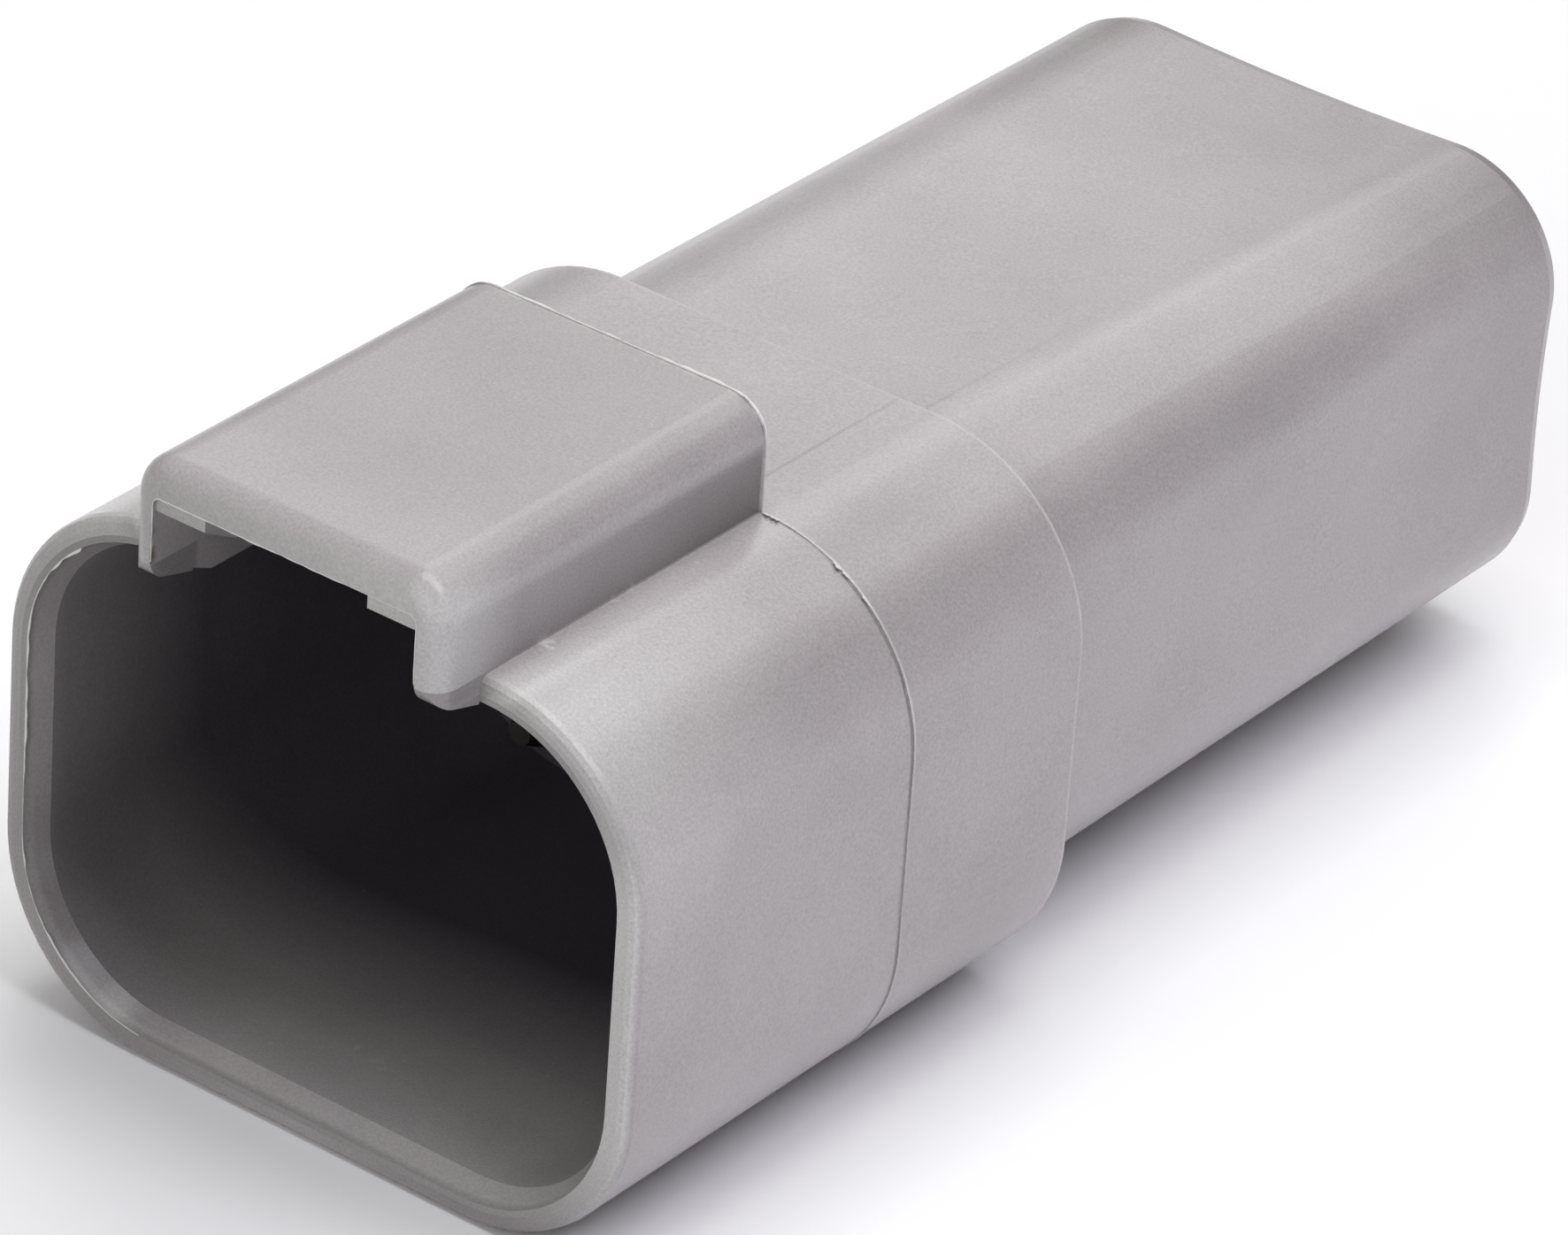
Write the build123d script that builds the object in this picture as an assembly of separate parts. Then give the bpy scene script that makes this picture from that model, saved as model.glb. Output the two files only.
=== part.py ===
from build123d import *
import math
import os

# Four-way sealed connector receptacle, in millimetres.
# The origin is the middle of the mouth. X runs across, +Y runs back along the plug's path, +Z is up.

# Shroud: the open front section that a plug slides into
shroud_width = 22.6
shroud_height = 17.4
shroud_corner = 5.6
shroud_wall = 1.1
rim_land = 0.75
rim_lead_in = 0.8
rim_round = 0.35
rim_round_steps = 3
cavity_depth = 19.0
shoulder_y = 20.2
shoulder_edge = 0.15

# Hood: the raised channel on top that takes the plug's latch
hood_width = 11.0
hood_rise = 3.4
hood_overhang = 1.8
hood_corner = 1.3
hood_nose = 0.8
hood_leg = 0.85
hood_roof = 1.12
channel_corner = 0.3
hood_back_wall = 1.1
leg_slope_front_z = 8.35
leg_slope_end_y = 0.9
parting_y = 12.2
flash_rise = 0.04
flash_width = 0.12

# Catches: the two ramps under the hood that hold the latch
catch_setback = 0.12
catch_width = 1.8
catch_start = 0.5
catch_end = 1.2
catch_ramp = 1.3
catch_land = 1.2

# Rear body: the tapered section behind the shoulder
rear_start_width = 20.1
rear_start_height = 15.7
rear_start_corner = 5.4
rear_end_width = 19.1
rear_end_height = 14.6
rear_end_corner = 3.9
rear_lean = 2.9
rear_corner_arcs = 10
rear_side_arcs = 2
rear_edge = 0.8
rear_edge_steps = 3
overall_length = 47.0

# Seal pocket in the rear body
pocket_depth = 10.5
pocket_wall = 1.35
pocket_lip = 0.3
pocket_lip_length = 1.2

# Contacts: four turned pins in two rows
column_pitch = 7.1
row_pitch = 5.8
pin_radius = 0.785
pin_nose = 0.4
pin_nose_length = 0.8
pin_length = 5.2
pin_tip_y = 13.6
sleeve_radius = 1.25
collar_radius = 1.48
collar_length = 1.5
barrel_radius = 1.1
barrel_bore = 0.72
barrel_bore_depth = 6.5
contact_length = 22.0
contact_clearance = 0.1
stop_y = 23.3

# Locking fingers: one spring finger in the housing for each contact
finger_width = 1.8
finger_thickness = 0.4
finger_length = 5.4
finger_slit = 0.35
finger_step = 0.12
finger_nub = 0.9
finger_nub_ramp = 0.9

# Wedge lock: the insert that keeps the fingers from bending
wedge_plate_width = 13.4
wedge_plate_height = 10.8
wedge_plate_corner = 2.6
wedge_plate_thickness = 1.5
wedge_hole_clearance = 0.2
tongue_width = 11.0
tongue_length = 10.8
tongue_thickness = 1.4
tongue_tip_thickness = 1.0
tongue_clearance = 0.12
detent_radius = 0.35
detent_y = 3.0
detent_clearance = 0.05
hook_slot_width = 3.4
hook_slot_height = 1.0
hook_slot_depth = 4.0

# Wire seal: a ribbed silicone grommet
seal_length = 8.6
seal_gap = 0.25
seal_rib_count = 2
seal_rib_width = 1.1
wire_hole_radius = 1.5
wire_lip_radius = 1.1
wire_lip_width = 0.9

# Worked out from the values above
half_height = shroud_height / 2
cavity_top = half_height - shroud_wall
hood_top = half_height + hood_rise
channel_top = hood_top - hood_roof
channel_half_width = hood_width / 2 - hood_leg
channel_end_y = parting_y - hood_back_wall
pocket_y = overall_length - pocket_depth
contact_places = [
    (column * column_pitch / 2, row * row_pitch / 2)
    for row in (1, -1)
    for column in (-1, 1)
]
pin_stem_end_y = pin_tip_y + pin_length
barrel_end_y = pin_tip_y + contact_length
collar_end_y = stop_y + collar_length
bore_radius = collar_radius + contact_clearance
stop_bore_radius = sleeve_radius + contact_clearance
finger_front_y = collar_end_y + contact_clearance
finger_root_y = finger_front_y + finger_length
overcut = 1.0


def section_plane(y):
    """A plane across the part at y, with X across and Z up."""
    return Plane(origin=(0, y, 0), x_dir=(1, 0, 0), z_dir=(0, -1, 0))


def rounded_bar(width, height, corner, start_y, end_y):
    """A straight bar along Y with a rounded rectangular section."""
    outline = section_plane(start_y) * RectangleRounded(width, height, corner)
    return extrude(outline, amount=start_y - end_y)


def round_bar(radius, x, z, start_y, end_y):
    """A round bar along Y at x, z."""
    outline = section_plane(start_y) * Pos(x, z) * Circle(radius)
    return extrude(outline, amount=start_y - end_y)


def block(x_range, y_range, z_range):
    """A plain block between two corners."""
    size = [high - low for low, high in (x_range, y_range, z_range)]
    middle = [(high + low) / 2 for low, high in (x_range, y_range, z_range)]
    return Pos(*middle) * Box(*size)


def arc_chain(centre, radius, start, end, count):
    """Short arcs, one after the other, that follow a circle from start to end, in degrees."""
    step = (end - start) / (2 * count)
    points = []
    for index in range(2 * count + 1):
        angle = math.radians(start + index * step)
        points.append((centre[0] + radius * math.cos(angle), centre[1] + radius * math.sin(angle)))
    return [ThreePointArc(*points[index:index + 3]) for index in range(0, 2 * count, 2)]


def lobed_outline(width, height, corner, lean):
    """A rounded rectangle with hollow sides: each corner's arc leans past square by lean degrees."""
    corner_x = width / 2 - corner
    corner_z = height / 2 - corner
    slant = math.radians(lean)
    curves = []
    for index, (side_x, side_z) in enumerate(((1, 1), (-1, 1), (-1, -1), (1, -1))):
        turn = 90 * index
        centre = (side_x * corner_x, side_z * corner_z)
        curves += arc_chain(centre, corner, turn - lean, turn + 90 + lean, rear_corner_arcs)
        half_side, height_of_side = (corner_x, corner_z) if index % 2 == 0 else (corner_z, corner_x)
        radius = half_side / math.sin(slant) - corner
        distance = height_of_side + (corner + radius) * math.cos(slant)
        facing = math.radians(turn + 90)
        centre = (distance * math.cos(facing), distance * math.sin(facing))
        curves += arc_chain(centre, radius, turn + 270 + lean, turn + 270 - lean, rear_side_arcs)
    return make_face(curves)


def make_shroud_block():
    """The front section as a solid: its rim rounded in even steps, its shoulder edge broken."""
    sections = []
    for step in range(rim_round_steps + 1):
        angle = math.radians(90 * step / rim_round_steps)
        inset = rim_round * (1 - math.sin(angle))
        width = shroud_width - 2 * inset
        height = shroud_height - 2 * inset
        outline = RectangleRounded(width, height, shroud_corner - inset)
        sections.append(section_plane(rim_round * (1 - math.cos(angle))) * outline)
    shape = rounded_bar(shroud_width, shroud_height, shroud_corner, rim_round, shoulder_y)
    back_edges = shape.faces().sort_by(Axis.Y)[-1].edges()
    return chamfer(back_edges, shoulder_edge) + loft(sections, ruled=True)


def make_parting_flash():
    """The thin ridge left where the mould's halves met: round the shroud, but not under it."""
    ridge = rounded_bar(
        shroud_width + 2 * flash_rise,
        shroud_height + 2 * flash_rise,
        shroud_corner + flash_rise,
        parting_y - flash_width / 2,
        parting_y + flash_width / 2,
    )
    return ridge & block(
        (-shroud_width, shroud_width),
        (parting_y - flash_width, parting_y + flash_width),
        (-half_height, half_height + flash_rise),
    )


def rear_section(y, inset):
    """The rear body's outline at y, drawn in by inset on every side."""
    share = (y - shoulder_y) / (overall_length - shoulder_y)
    width = rear_start_width + share * (rear_end_width - rear_start_width)
    height = rear_start_height + share * (rear_end_height - rear_start_height)
    corner = rear_start_corner + share * (rear_end_corner - rear_start_corner)
    outline = lobed_outline(width - 2 * inset, height - 2 * inset, corner - inset, rear_lean)
    return section_plane(y) * outline


def make_rear_block():
    """The tapered rear section as a solid, with its end edge rounded in a few even steps."""
    sections = [rear_section(shoulder_y - shoulder_edge, 0)]
    for step in range(rear_edge_steps + 1):
        angle = math.radians(90 * step / rear_edge_steps)
        y = overall_length - rear_edge * (1 - math.sin(angle))
        sections.append(rear_section(y, rear_edge * (1 - math.cos(angle))))
    return loft(sections, ruled=True)


def make_hood_block():
    """The hood's outer form as a solid, from its nose back to the parting line."""
    shape = block(
        (-hood_width / 2, hood_width / 2),
        (-hood_overhang, parting_y),
        (cavity_top, hood_top),
    )
    slope = Plane.YZ * Polygon(
        (-hood_overhang, cavity_top),
        (-hood_overhang, leg_slope_front_z),
        (leg_slope_end_y, cavity_top),
        align=None,
    )
    shape -= extrude(slope, amount=hood_width, both=True)
    top_edges = shape.edges().filter_by(Axis.Y).group_by(Axis.Z)[-1]
    shape = fillet(top_edges, hood_corner)
    front_edges = shape.faces().sort_by(Axis.Y)[0].edges()
    return fillet(front_edges, hood_nose)


def make_hood_flash():
    """The thin ridge round the hood's back edge, on the same parting line."""
    ridge = block(
        (-hood_width / 2 - flash_rise, hood_width / 2 + flash_rise),
        (parting_y - flash_width / 2, parting_y),
        (cavity_top, hood_top + flash_rise),
    )
    top_edges = ridge.edges().filter_by(Axis.Y).group_by(Axis.Z)[-1]
    return fillet(top_edges, hood_corner + flash_rise)


def make_channel():
    """The room under the hood, open to the shroud below it."""
    shape = block(
        (-channel_half_width, channel_half_width),
        (-hood_overhang - overcut, channel_end_y),
        (0, channel_top),
    )
    top_edges = shape.edges().filter_by(Axis.Y).group_by(Axis.Z)[-1]
    return fillet(top_edges, channel_corner)


def make_catch(side):
    """One ramp under the hood: it falls towards the back and ends in a square catch face."""
    front = catch_setback - hood_overhang
    ramp_end = front + catch_ramp
    back = ramp_end + catch_land
    profile = Plane.YZ * Polygon(
        (front, channel_top),
        (front, channel_top - catch_start),
        (ramp_end, channel_top - catch_end),
        (back, channel_top - catch_end),
        (back, channel_top),
        align=None,
    )
    ramp = extrude(profile, amount=catch_width / 2, both=True)
    return Pos(side * (channel_half_width - catch_width / 2), 0, 0) * ramp


def make_cavity():
    """The room inside the shroud, with the bevel that leads a plug in."""
    bore = rounded_bar(
        shroud_width - 2 * shroud_wall,
        shroud_height - 2 * shroud_wall,
        shroud_corner - shroud_wall,
        -overcut,
        cavity_depth,
    )
    bevel_front = section_plane(0) * RectangleRounded(
        shroud_width - 2 * rim_land, shroud_height - 2 * rim_land, shroud_corner - rim_land
    )
    bevel_back = section_plane(rim_lead_in) * RectangleRounded(
        shroud_width - 2 * shroud_wall, shroud_height - 2 * shroud_wall, shroud_corner - shroud_wall
    )
    return bore + loft([bevel_front, bevel_back], ruled=True)


def make_seal_pocket():
    """The pocket for the wire seal, closed in a little by a lip at the back."""
    width = rear_end_width - 2 * pocket_wall
    height = rear_end_height - 2 * pocket_wall
    corner = rear_end_corner - pocket_wall
    lip_y = overall_length - pocket_lip_length
    pocket = rounded_bar(width, height, corner, pocket_y, lip_y)
    mouth = rounded_bar(
        width - 2 * pocket_lip,
        height - 2 * pocket_lip,
        corner - pocket_lip,
        lip_y - pocket_lip,
        overall_length + overcut,
    )
    return pocket + mouth


def make_contact_bore(x, z):
    """One contact's bore: wide from the pocket to the stop, narrower from the stop to the cavity."""
    wide = round_bar(bore_radius, x, z, stop_y, pocket_y + overcut)
    narrow = round_bar(stop_bore_radius, x, z, cavity_depth - overcut, stop_y + overcut)
    return wide + narrow


def make_finger_window(x, z):
    """The room around one locking finger, which joins the wedge's slot to the contact's bore."""
    up = 1 if z > 0 else -1
    reach = finger_width / 2 + finger_slit
    top = abs(z) - bore_radius / 2
    low, high = sorted((0, up * top))
    return block((x - reach, x + reach), (finger_front_y - finger_slit, finger_root_y), (low, high))


def make_finger(x, z):
    """One locking finger: it reaches forward and ends in a ramped nub behind the contact's collar."""
    up = 1 if z > 0 else -1
    arm_top = abs(z) - collar_radius - finger_step
    arm_low = arm_top - finger_thickness
    nub_top = abs(z) - barrel_radius - contact_clearance
    nub_end_y = finger_front_y + finger_nub
    side = Plane.YZ * Polygon(
        (finger_front_y, up * arm_low),
        (finger_front_y, up * nub_top),
        (nub_end_y, up * nub_top),
        (nub_end_y + finger_nub_ramp, up * arm_top),
        (finger_root_y + finger_slit, up * arm_top),
        (finger_root_y + finger_slit, up * arm_low),
        align=None,
    )
    return Pos(x, 0, 0) * extrude(side, amount=finger_width / 2, both=True)


def make_tongue(clearance, end_y):
    """The wedge lock's tapered tongue, or its slot in the housing when a clearance is given."""
    width = tongue_width + 2 * clearance
    root = section_plane(cavity_depth) * Rectangle(width, tongue_thickness + 2 * clearance)
    tip = section_plane(end_y) * Rectangle(width, tongue_tip_thickness + 2 * clearance)
    return loft([root, tip], ruled=True)


def make_detent(side, radius):
    """One snap ridge on the tongue's edge, or its notch in the slot."""
    ridge = Cylinder(radius, tongue_tip_thickness)
    return Pos(side * tongue_width / 2, cavity_depth + detent_y, 0) * ridge


def make_housing():
    """The moulded housing: shroud, hood and rear body in one piece."""
    shape = make_shroud_block() + make_rear_block() + make_hood_block()
    shape += make_parting_flash() + make_hood_flash()
    shape -= make_cavity()
    shape -= make_channel()
    for side in (-1, 1):
        shape += make_catch(side)
    shape -= make_seal_pocket()
    shape -= make_tongue(tongue_clearance, finger_root_y)
    for side in (-1, 1):
        shape -= make_detent(side, detent_radius + detent_clearance)
    for x, z in contact_places:
        shape -= make_contact_bore(x, z)
        shape -= make_finger_window(x, z)
        shape += make_finger(x, z)
    return shape


def make_contact(x, z):
    """One turned contact: pin, sleeve, collar and crimp barrel."""
    profile = Plane.XY * Polygon(
        (0, pin_tip_y),
        (pin_radius - pin_nose, pin_tip_y),
        (pin_radius, pin_tip_y + pin_nose_length),
        (pin_radius, pin_stem_end_y),
        (sleeve_radius, pin_stem_end_y),
        (sleeve_radius, stop_y),
        (collar_radius, stop_y),
        (collar_radius, collar_end_y),
        (barrel_radius, collar_end_y),
        (barrel_radius, barrel_end_y),
        (barrel_bore, barrel_end_y),
        (barrel_bore, barrel_end_y - barrel_bore_depth),
        (0, barrel_end_y - barrel_bore_depth),
        align=None,
    )
    return Pos(x, 0, z) * revolve(profile, axis=Axis.Y)


def make_wedge_lock():
    """The insert: a plate on the shroud's floor and a tongue between the rows of fingers."""
    plate = rounded_bar(
        wedge_plate_width,
        wedge_plate_height,
        wedge_plate_corner,
        cavity_depth - wedge_plate_thickness,
        cavity_depth,
    )
    shape = plate + make_tongue(0, cavity_depth + tongue_length)
    for side in (-1, 1):
        shape += make_detent(side, detent_radius)
    for x, z in contact_places:
        shape -= round_bar(
            sleeve_radius + wedge_hole_clearance, x, z,
            cavity_depth - wedge_plate_thickness - overcut, cavity_depth,
        )
    front_y = cavity_depth - wedge_plate_thickness
    shape -= block(
        (-hook_slot_width / 2, hook_slot_width / 2),
        (front_y - overcut, front_y + hook_slot_depth),
        (-hook_slot_height / 2, hook_slot_height / 2),
    )
    return shape


def make_wire_seal():
    """The silicone grommet: ribs round it press on the pocket, a lip in each hole on a wire."""
    width = rear_end_width - 2 * pocket_wall
    height = rear_end_height - 2 * pocket_wall
    corner = rear_end_corner - pocket_wall
    end_y = pocket_y + seal_length
    shape = rounded_bar(width - 2 * seal_gap, height - 2 * seal_gap, corner - seal_gap, pocket_y, end_y)
    rib_step = (seal_length - seal_rib_width) / (seal_rib_count - 1)
    for index in range(seal_rib_count):
        start_y = pocket_y + index * rib_step
        shape += rounded_bar(width, height, corner, start_y, start_y + seal_rib_width)
    for x, z in contact_places:
        shape -= round_bar(wire_lip_radius, x, z, pocket_y - overcut, end_y + overcut)
        shape -= round_bar(wire_hole_radius, x, z, pocket_y - overcut, end_y - wire_lip_width)
    return shape


def write(shape, name):
    """Write one node's solid."""
    shape.label = name
    export_step(shape, os.path.join("parts", name + ".step"))


os.makedirs("parts", exist_ok=True)
write(make_housing(), "housing")
write(make_wedge_lock(), "wedge_lock")
write(make_wire_seal(), "wire_seal")
for number, (x, z) in enumerate(contact_places, start=1):
    write(make_contact(x, z), f"contact_pin_{number}")
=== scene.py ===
# %% [markdown]
# # A moulded connector receptacle
# The piece is one half of a sealed wire connector: a grey shroud that a plug slides into, with a
# hood on top for the plug's latch and a tapered body behind it for the wires. The solids come from
# the frame. This script gives them their finish, adds the mould's small flaws, and sets the light.

# %% Load the frame
import bmesh
import bpy
import math
from mathutils import Matrix, Vector, noise


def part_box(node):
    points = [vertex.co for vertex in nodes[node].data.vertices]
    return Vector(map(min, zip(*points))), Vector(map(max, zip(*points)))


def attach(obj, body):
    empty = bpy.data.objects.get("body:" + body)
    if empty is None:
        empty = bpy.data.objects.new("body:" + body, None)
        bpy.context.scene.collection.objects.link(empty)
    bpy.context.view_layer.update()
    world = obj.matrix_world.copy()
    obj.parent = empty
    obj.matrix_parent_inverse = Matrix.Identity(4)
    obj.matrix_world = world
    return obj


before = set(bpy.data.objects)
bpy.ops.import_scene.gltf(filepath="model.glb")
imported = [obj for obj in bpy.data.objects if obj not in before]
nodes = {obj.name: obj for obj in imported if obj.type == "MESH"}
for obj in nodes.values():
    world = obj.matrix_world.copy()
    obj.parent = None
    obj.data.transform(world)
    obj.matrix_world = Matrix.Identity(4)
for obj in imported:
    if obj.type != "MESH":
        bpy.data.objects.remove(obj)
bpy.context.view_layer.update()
MM = 0.001
housing_low, housing_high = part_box("housing")


def in_mm(lengths):
    """Lengths in millimetres, to two places, for printing."""
    return [round(length / MM, 2) for length in lengths]


print("housing from", in_mm(housing_low), "to", in_mm(housing_high))

# %% [markdown]
# ## Camera
# The photograph was taken from the front, from above and from the right, with a long lens, so the
# lines run almost parallel. The camera is stated as a photographer would set it: where it aims, how
# far away it stands, its two angles round the object and a slight lean.

# %% Set the camera
AIM = Vector((7.547, 10.797, 6.763)) * MM
DISTANCE = 265.0 * MM
AZIMUTH = math.radians(35.768)
ELEVATION = math.radians(30.534)
LEAN = math.radians(4.131)
LENS = 221.144
SENSOR_WIDTH = 36.0
NEAREST, FARTHEST = 0.01, 5.0


def place_camera():
    """Stand the camera round the aim point, then lean it about its own line of sight."""
    data = bpy.data.cameras.new("photo_camera")
    data.lens = LENS
    data.sensor_width = SENSOR_WIDTH
    data.sensor_fit = "HORIZONTAL"
    data.clip_start, data.clip_end = NEAREST, FARTHEST
    camera = bpy.data.objects.new("photo_camera", data)
    bpy.context.scene.collection.objects.link(camera)
    back = Vector((
        math.sin(AZIMUTH) * math.cos(ELEVATION),
        -math.cos(AZIMUTH) * math.cos(ELEVATION),
        math.sin(ELEVATION),
    ))
    level = Vector((0, 0, 1)).cross(back).normalized()
    upright = back.cross(level)
    right = level * math.cos(LEAN) + upright * math.sin(LEAN)
    up = upright * math.cos(LEAN) - level * math.sin(LEAN)
    turn = Matrix((right, up, back)).transposed().to_4x4()
    camera.matrix_world = Matrix.Translation(AIM + back * DISTANCE) @ turn
    bpy.context.scene.camera = camera
    return camera


camera = place_camera()
bpy.context.scene.view_settings.view_transform = "Standard"
print("camera at", in_mm(camera.location))

# %% [markdown]
# ## Finishes
# Each finish here is a node tree that a script builds. The same few steps come back in all of them:
# add a node, set its sockets, and join it to the next. They are written once as small helpers, so
# that what follows reads as arithmetic. The same trees could be drawn by hand in the shader editor.

# %% Add and set nodes


def add_node(tree, kind, **values):
    """Add a node, and set its own properties by name."""
    node = tree.nodes.new(kind)
    for name, value in values.items():
        setattr(node, name, value)
    return node


def set_inputs(node, **values):
    """Set a node's sockets by their names, with an underscore for each space."""
    for name, value in values.items():
        node.inputs[name.replace("_", " ")].default_value = value
    return node


def feed(tree, socket, value):
    """Give a socket a link, or a plain value."""
    if isinstance(value, bpy.types.NodeSocket):
        tree.links.new(value, socket)
    else:
        socket.default_value = value


def new_group(name, inputs, outputs):
    """A node group with named sockets, and its two end nodes."""
    group = bpy.data.node_groups.new(name, "ShaderNodeTree")
    for label, kind, value in inputs:
        socket = group.interface.new_socket(name=label, in_out="INPUT", socket_type=kind)
        socket.default_value = value
    for label, kind in outputs:
        group.interface.new_socket(name=label, in_out="OUTPUT", socket_type=kind)
    return group, add_node(group, "NodeGroupInput"), add_node(group, "NodeGroupOutput")


def new_material(name):
    """A material with an empty node tree."""
    material = bpy.data.materials.new(name)
    material.use_nodes = True
    material.node_tree.nodes.clear()
    return material, material.node_tree


NUMBER, COLOUR = "NodeSocketFloat", "NodeSocketColor"
print("sockets are of kind", NUMBER, "or", COLOUR)

# %% Calculate with nodes


def calculate(tree, operation, *values, clamp=False):
    """One step of arithmetic on links or numbers."""
    node = add_node(tree, "ShaderNodeMath", operation=operation, use_clamp=clamp)
    for socket, value in zip(node.inputs, values):
        feed(tree, socket, value)
    return node.outputs[0]


def measure(tree, operation, *values):
    """One step of vector arithmetic on links or plain vectors."""
    node = add_node(tree, "ShaderNodeVectorMath", operation=operation)
    for socket, value in zip(node.inputs, values):
        feed(tree, socket, value)
    return node.outputs["Value" if operation == "LENGTH" else "Vector"]


def mix_colours(tree, factor, first, second):
    """Mix two colours, each a link or a plain colour, by a factor that is a link or a number."""
    node = add_node(tree, "ShaderNodeMix", data_type="RGBA")
    for number, value in ((0, factor), (6, first), (7, second)):
        feed(tree, node.inputs[number], value)
    return node.outputs[2]


def product(tree, *factors):
    """All the factors multiplied."""
    total = factors[0]
    for factor in factors[1:]:
        total = calculate(tree, "MULTIPLY", total, factor)
    return total


def largest(tree, *values):
    """The largest of the values."""
    most = values[0]
    for value in values[1:]:
        most = calculate(tree, "MAXIMUM", most, value)
    return most


def rest_of(tree, share):
    """What a share leaves of 1."""
    return calculate(tree, "SUBTRACT", 1.0, share)


ARITHMETIC = (calculate, measure, mix_colours, product, largest, rest_of)
print("arithmetic:", ", ".join(helper.__name__ for helper in ARITHMETIC))

# %% Turn values into masks


def above(tree, value, limit):
    """1 where the value is above the limit, else 0."""
    return calculate(tree, "GREATER_THAN", value, limit)


def below(tree, value, limit):
    """1 where the value is below the limit, else 0."""
    return calculate(tree, "LESS_THAN", value, limit)


def ramp(tree, value, start, end):
    """0 where the value is at start, 1 where it is at end, even between them."""
    gone = calculate(tree, "SUBTRACT", value, start)
    return calculate(tree, "DIVIDE", gone, end - start, clamp=True)


def band(tree, value, centre, half):
    """1 where the value is at the centre, falling to 0 at half a width to each side."""
    distance = calculate(tree, "ABSOLUTE", calculate(tree, "SUBTRACT", value, centre))
    share = calculate(tree, "DIVIDE", distance, half)
    return calculate(tree, "SUBTRACT", 1.0, share, clamp=True)


MASKS = (above, below, ramp, band)
print("masks:", ", ".join(helper.__name__ for helper in MASKS))

# %% Read the place and a noise


def object_place(tree):
    """A point's place on the object."""
    return add_node(tree, "ShaderNodeTexCoord").outputs["Object"]


def split(tree, place):
    """The place along each axis: x, y and z."""
    axes = add_node(tree, "ShaderNodeSeparateXYZ")
    tree.links.new(place, axes.inputs["Vector"])
    return [axes.outputs[axis] for axis in "XYZ"]


def noise_at(tree, place, **values):
    """Noise over the object, from 0 to 1; the values are its sockets."""
    node = set_inputs(add_node(tree, "ShaderNodeTexNoise"), **values)
    tree.links.new(place, node.inputs["Vector"])
    return node


READINGS = (object_place, split, noise_at)
print("readings:", ", ".join(helper.__name__ for helper in READINGS))

# %% [markdown]
# ## The moulded grain
# The body is glass-filled nylon, moulded in a tool with a fine spark finish: an even grey with a
# satin grain. A picture of such a grain could be wrapped round it, but it would stretch at the
# corners. Noise on the object's own coordinates has the same size on every face. The seal, the
# wedge and the flash have a grain too, so it is one group that each finish sets for itself.

# %% Make the moulded grain
TONE_SCALE = 180.0
TONE_SHARE = 0.5
GLOSS_CHANGE = 0.12


def grey(level):
    """A neutral colour."""
    return (level, level, level, 1.0)


def make_grain_group():
    """Grain of a spark-eroded mould: a fine bump, with slow changes of tone and gloss across it."""
    group, start, end = new_group(
        "moulded_grain",
        [
            ("Colour", COLOUR, grey(0.5)),
            ("Grain Size", NUMBER, 12000.0),
            ("Tone Change", NUMBER, 0.05),
            ("Base Roughness", NUMBER, 0.4),
        ],
        [("Colour", COLOUR), ("Roughness", NUMBER), ("Height", NUMBER)],
    )
    place = object_place(group)
    fine = noise_at(group, place, Detail=3.0, Roughness=0.6)
    group.links.new(start.outputs["Grain Size"], fine.inputs["Scale"])
    broad = noise_at(group, place, Scale=TONE_SCALE, Detail=4.0, Roughness=0.55)
    swing = calculate(group, "SUBTRACT", broad.outputs["Fac"], 0.5)
    speckle = calculate(group, "SUBTRACT", fine.outputs["Fac"], 0.5)
    both = calculate(group, "ADD", product(group, swing, TONE_SHARE), speckle)
    level = calculate(group, "ADD", product(group, both, start.outputs["Tone Change"]), 1.0)
    tone = add_node(group, "ShaderNodeMix", data_type="RGBA", blend_type="MULTIPLY")
    for number, value in ((0, 1.0), (6, start.outputs["Colour"]), (7, level)):
        feed(group, tone.inputs[number], value)
    group.links.new(tone.outputs[2], end.inputs["Colour"])
    gloss = calculate(
        group, "ADD", product(group, swing, GLOSS_CHANGE), start.outputs["Base Roughness"]
    )
    group.links.new(gloss, end.inputs["Roughness"])
    group.links.new(fine.outputs["Fac"], end.inputs["Height"])
    return group


grain_group = make_grain_group()
gives = [item.name for item in grain_group.interface.items_tree if item.in_out == "OUTPUT"]
print("grain gives", gives)

# %% [markdown]
# ## Where a point lies on the housing
# The marks and tones that follow belong to places: the rim, the hood, the rounded corner. They
# could be painted on an image, but masks worked out from the place need no seams and no
# unwrapping. So each group first reads a point's place and which side of the shroud's wall it is
# on. The number called down runs round the rounded upper corner, from the top to the side.

# %% Read a point's place
SHROUD_WIDTH = 22.6 * MM
SHROUD_HEIGHT = 17.4 * MM
SHROUD_CORNER = 5.6 * MM
SHROUD_WALL = 1.1 * MM
SHROUD_CORE = (SHROUD_WIDTH / 2 - SHROUD_CORNER, 0.0, SHROUD_HEIGHT / 2 - SHROUD_CORNER)
SHROUD_MIDDLE = SHROUD_CORNER - SHROUD_WALL / 2


def distance_from_core(tree, place):
    """How far a point lies from the bar in the shroud's middle, round which its corners turn."""
    flat = measure(tree, "MULTIPLY", place, (1.0, 0.0, 1.0))
    beyond = measure(tree, "SUBTRACT", measure(tree, "ABSOLUTE", flat), SHROUD_CORE)
    return measure(tree, "LENGTH", measure(tree, "MAXIMUM", beyond, (0.0, 0.0, 0.0)))


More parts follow.
